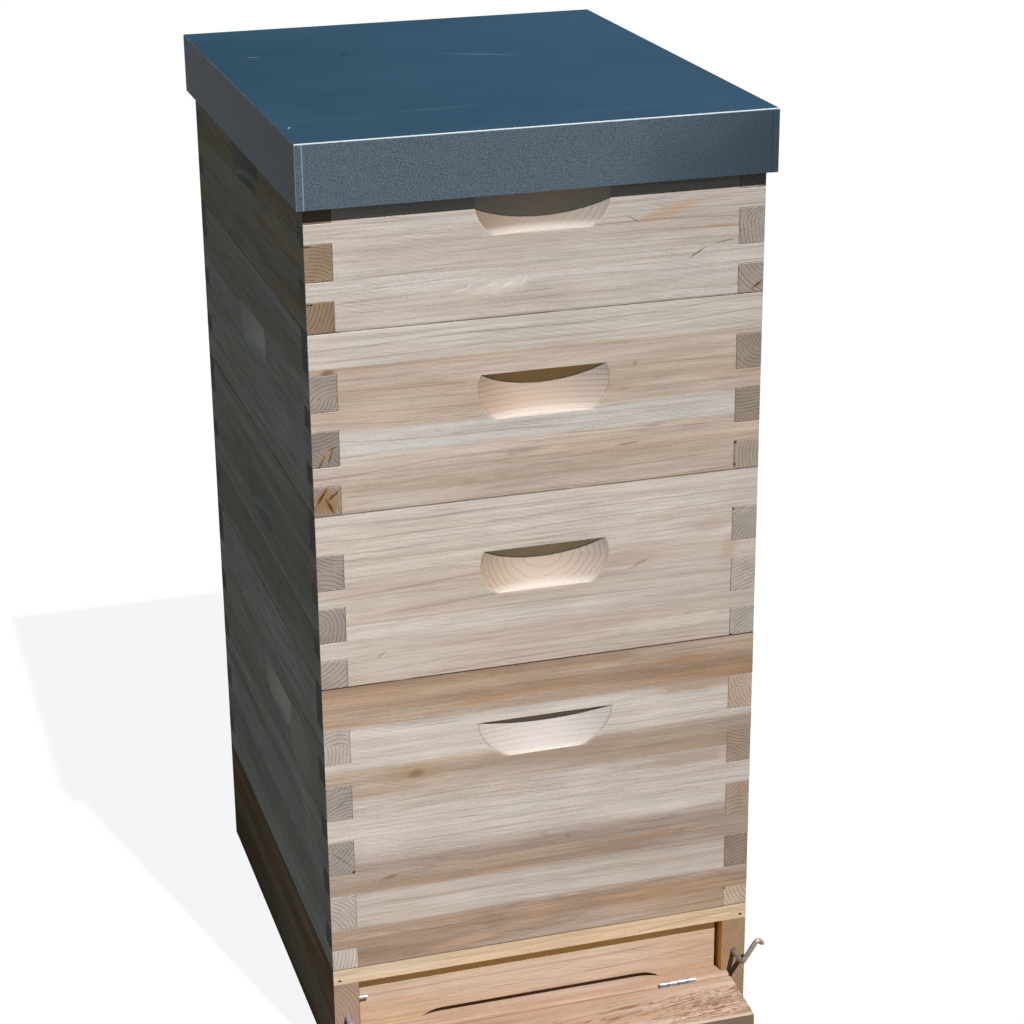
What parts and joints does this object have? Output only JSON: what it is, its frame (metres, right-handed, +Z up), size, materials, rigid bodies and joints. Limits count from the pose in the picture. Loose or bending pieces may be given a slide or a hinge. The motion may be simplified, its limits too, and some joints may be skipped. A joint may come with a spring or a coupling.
{
  "type": "frame beehive",
  "caption": "Stacked wooden beehive: deep brood box and shallow supers with hanging frames, sheet-metal roof, and a base with fold-up landing board, entrance block and slide-in tray.",
  "frame": {"origin": "middle of the footprint of the boxes, on the ground", "axes": "+X to the right seen from the front, +Y to the back, +Z up"},
  "size_m": [0.4492, 0.602, 0.923],
  "materials": {
    "box_wood": "bare planed, weathered",
    "base_wood": "bare planed",
    "landing_wood": "bare rough-sawn",
    "frame_wood": "bare planed",
    "wax": "waxy",
    "roof_metal": "satin coated sheet",
    "hardware": "zinc plated",
    "hook_wire": "dulled wire",
    "mesh_wire": "galvanised",
    "tray_sheet": "matt sheet"
  },
  "bodies": {
    "base": {"base_left_wall": "base_wood", "base_right_wall": "base_wood", "base_back_wall": "base_wood", "base_front_rail": "base_wood", "rail_nails": "hardware", "entrance_sill": "base_wood", "entrance_block": "base_wood", "mesh_side_battens": "base_wood", "mesh_back_batten": "base_wood", "mesh_floor": "mesh_wire", "tray_runners": "base_wood", "hinge_sill_leaves": "hardware", "hinge_pins": "hardware"},
    "landing_flap": {"landing_board": "landing_wood", "hinge_board_leaves": "hardware"},
    "left_hook": {"turn_hook_left": "hook_wire"},
    "right_hook": {"turn_hook_right": "hook_wire"},
    "retaining_pin": {"block_retaining_pin": "hardware"},
    "tray_drawer": {"varroa_tray": "tray_sheet", "tray_front": "base_wood"},
    "roof": {"roof_sheet": "roof_metal"},
    "brood": {"brood_front_panel": "box_wood", "brood_back_panel": "box_wood", "brood_left_panel": "box_wood", "brood_right_panel": "box_wood", "brood_frame_top_bars": "frame_wood", "brood_frame_side_bars": "frame_wood", "brood_frame_bottom_bars": "frame_wood", "brood_foundation_sheets": "wax"},
    "super_1": {"super_1_front_panel": "box_wood", "super_1_back_panel": "box_wood", "super_1_left_panel": "box_wood", "super_1_right_panel": "box_wood", "super_1_frame_top_bars": "frame_wood", "super_1_frame_side_bars": "frame_wood", "super_1_frame_bottom_bars": "frame_wood", "super_1_foundation_sheets": "wax"},
    "super_2": {"super_2_front_panel": "box_wood", "super_2_back_panel": "box_wood", "super_2_left_panel": "box_wood", "super_2_right_panel": "box_wood", "super_2_frame_top_bars": "frame_wood", "super_2_frame_side_bars": "frame_wood", "super_2_frame_bottom_bars": "frame_wood", "super_2_foundation_sheets": "wax"},
    "super_3": {"super_3_front_panel": "box_wood", "super_3_back_panel": "box_wood", "super_3_left_panel": "box_wood", "super_3_right_panel": "box_wood", "super_3_frame_top_bars": "frame_wood", "super_3_frame_side_bars": "frame_wood", "super_3_frame_bottom_bars": "frame_wood", "super_3_foundation_sheets": "wax"}
  },
  "joints": [
    {"name": "landing_fold", "type": "hinge", "parent": "base", "child": "landing_flap", "pos_m": [0, -0.26585, 0.042], "axis": [-1, 0, 0], "range_deg": [0, 100]},
    {"name": "right_hook_turn", "type": "hinge", "parent": "base", "child": "right_hook", "pos_m": [0.2, -0.2575, 0.0622], "axis": [0, -1, 0], "range_deg": [-102, 123]},
    {"name": "left_hook_turn", "type": "hinge", "parent": "base", "child": "left_hook", "pos_m": [-0.2, -0.2575, 0.0622], "axis": [0, 1, 0], "range_deg": [0, 225]},
    {"name": "pin_draw", "type": "slide", "parent": "base", "child": "retaining_pin", "axis": [1, 0, 0], "range_m": [0, 0.014]},
    {"name": "tray_slide", "type": "slide", "parent": "base", "child": "tray_drawer", "axis": [0, 1, 0], "range_m": [0, 0.4]},
    {"name": "brood_lift", "type": "slide", "parent": "base", "child": "brood", "axis": [0, 0, 1], "range_m": [0, 0.25]},
    {"name": "super_1_lift", "type": "slide", "parent": "brood", "child": "super_1", "axis": [0, 0, 1], "range_m": [0, 0.25]},
    {"name": "super_2_lift", "type": "slide", "parent": "super_1", "child": "super_2", "axis": [0, 0, 1], "range_m": [0, 0.25]},
    {"name": "super_3_lift", "type": "slide", "parent": "super_2", "child": "super_3", "axis": [0, 0, 1], "range_m": [0, 0.25]},
    {"name": "roof_lift", "type": "slide", "parent": "super_3", "child": "roof", "axis": [0, 0, 1], "range_m": [0, 0.25]}
  ]
}
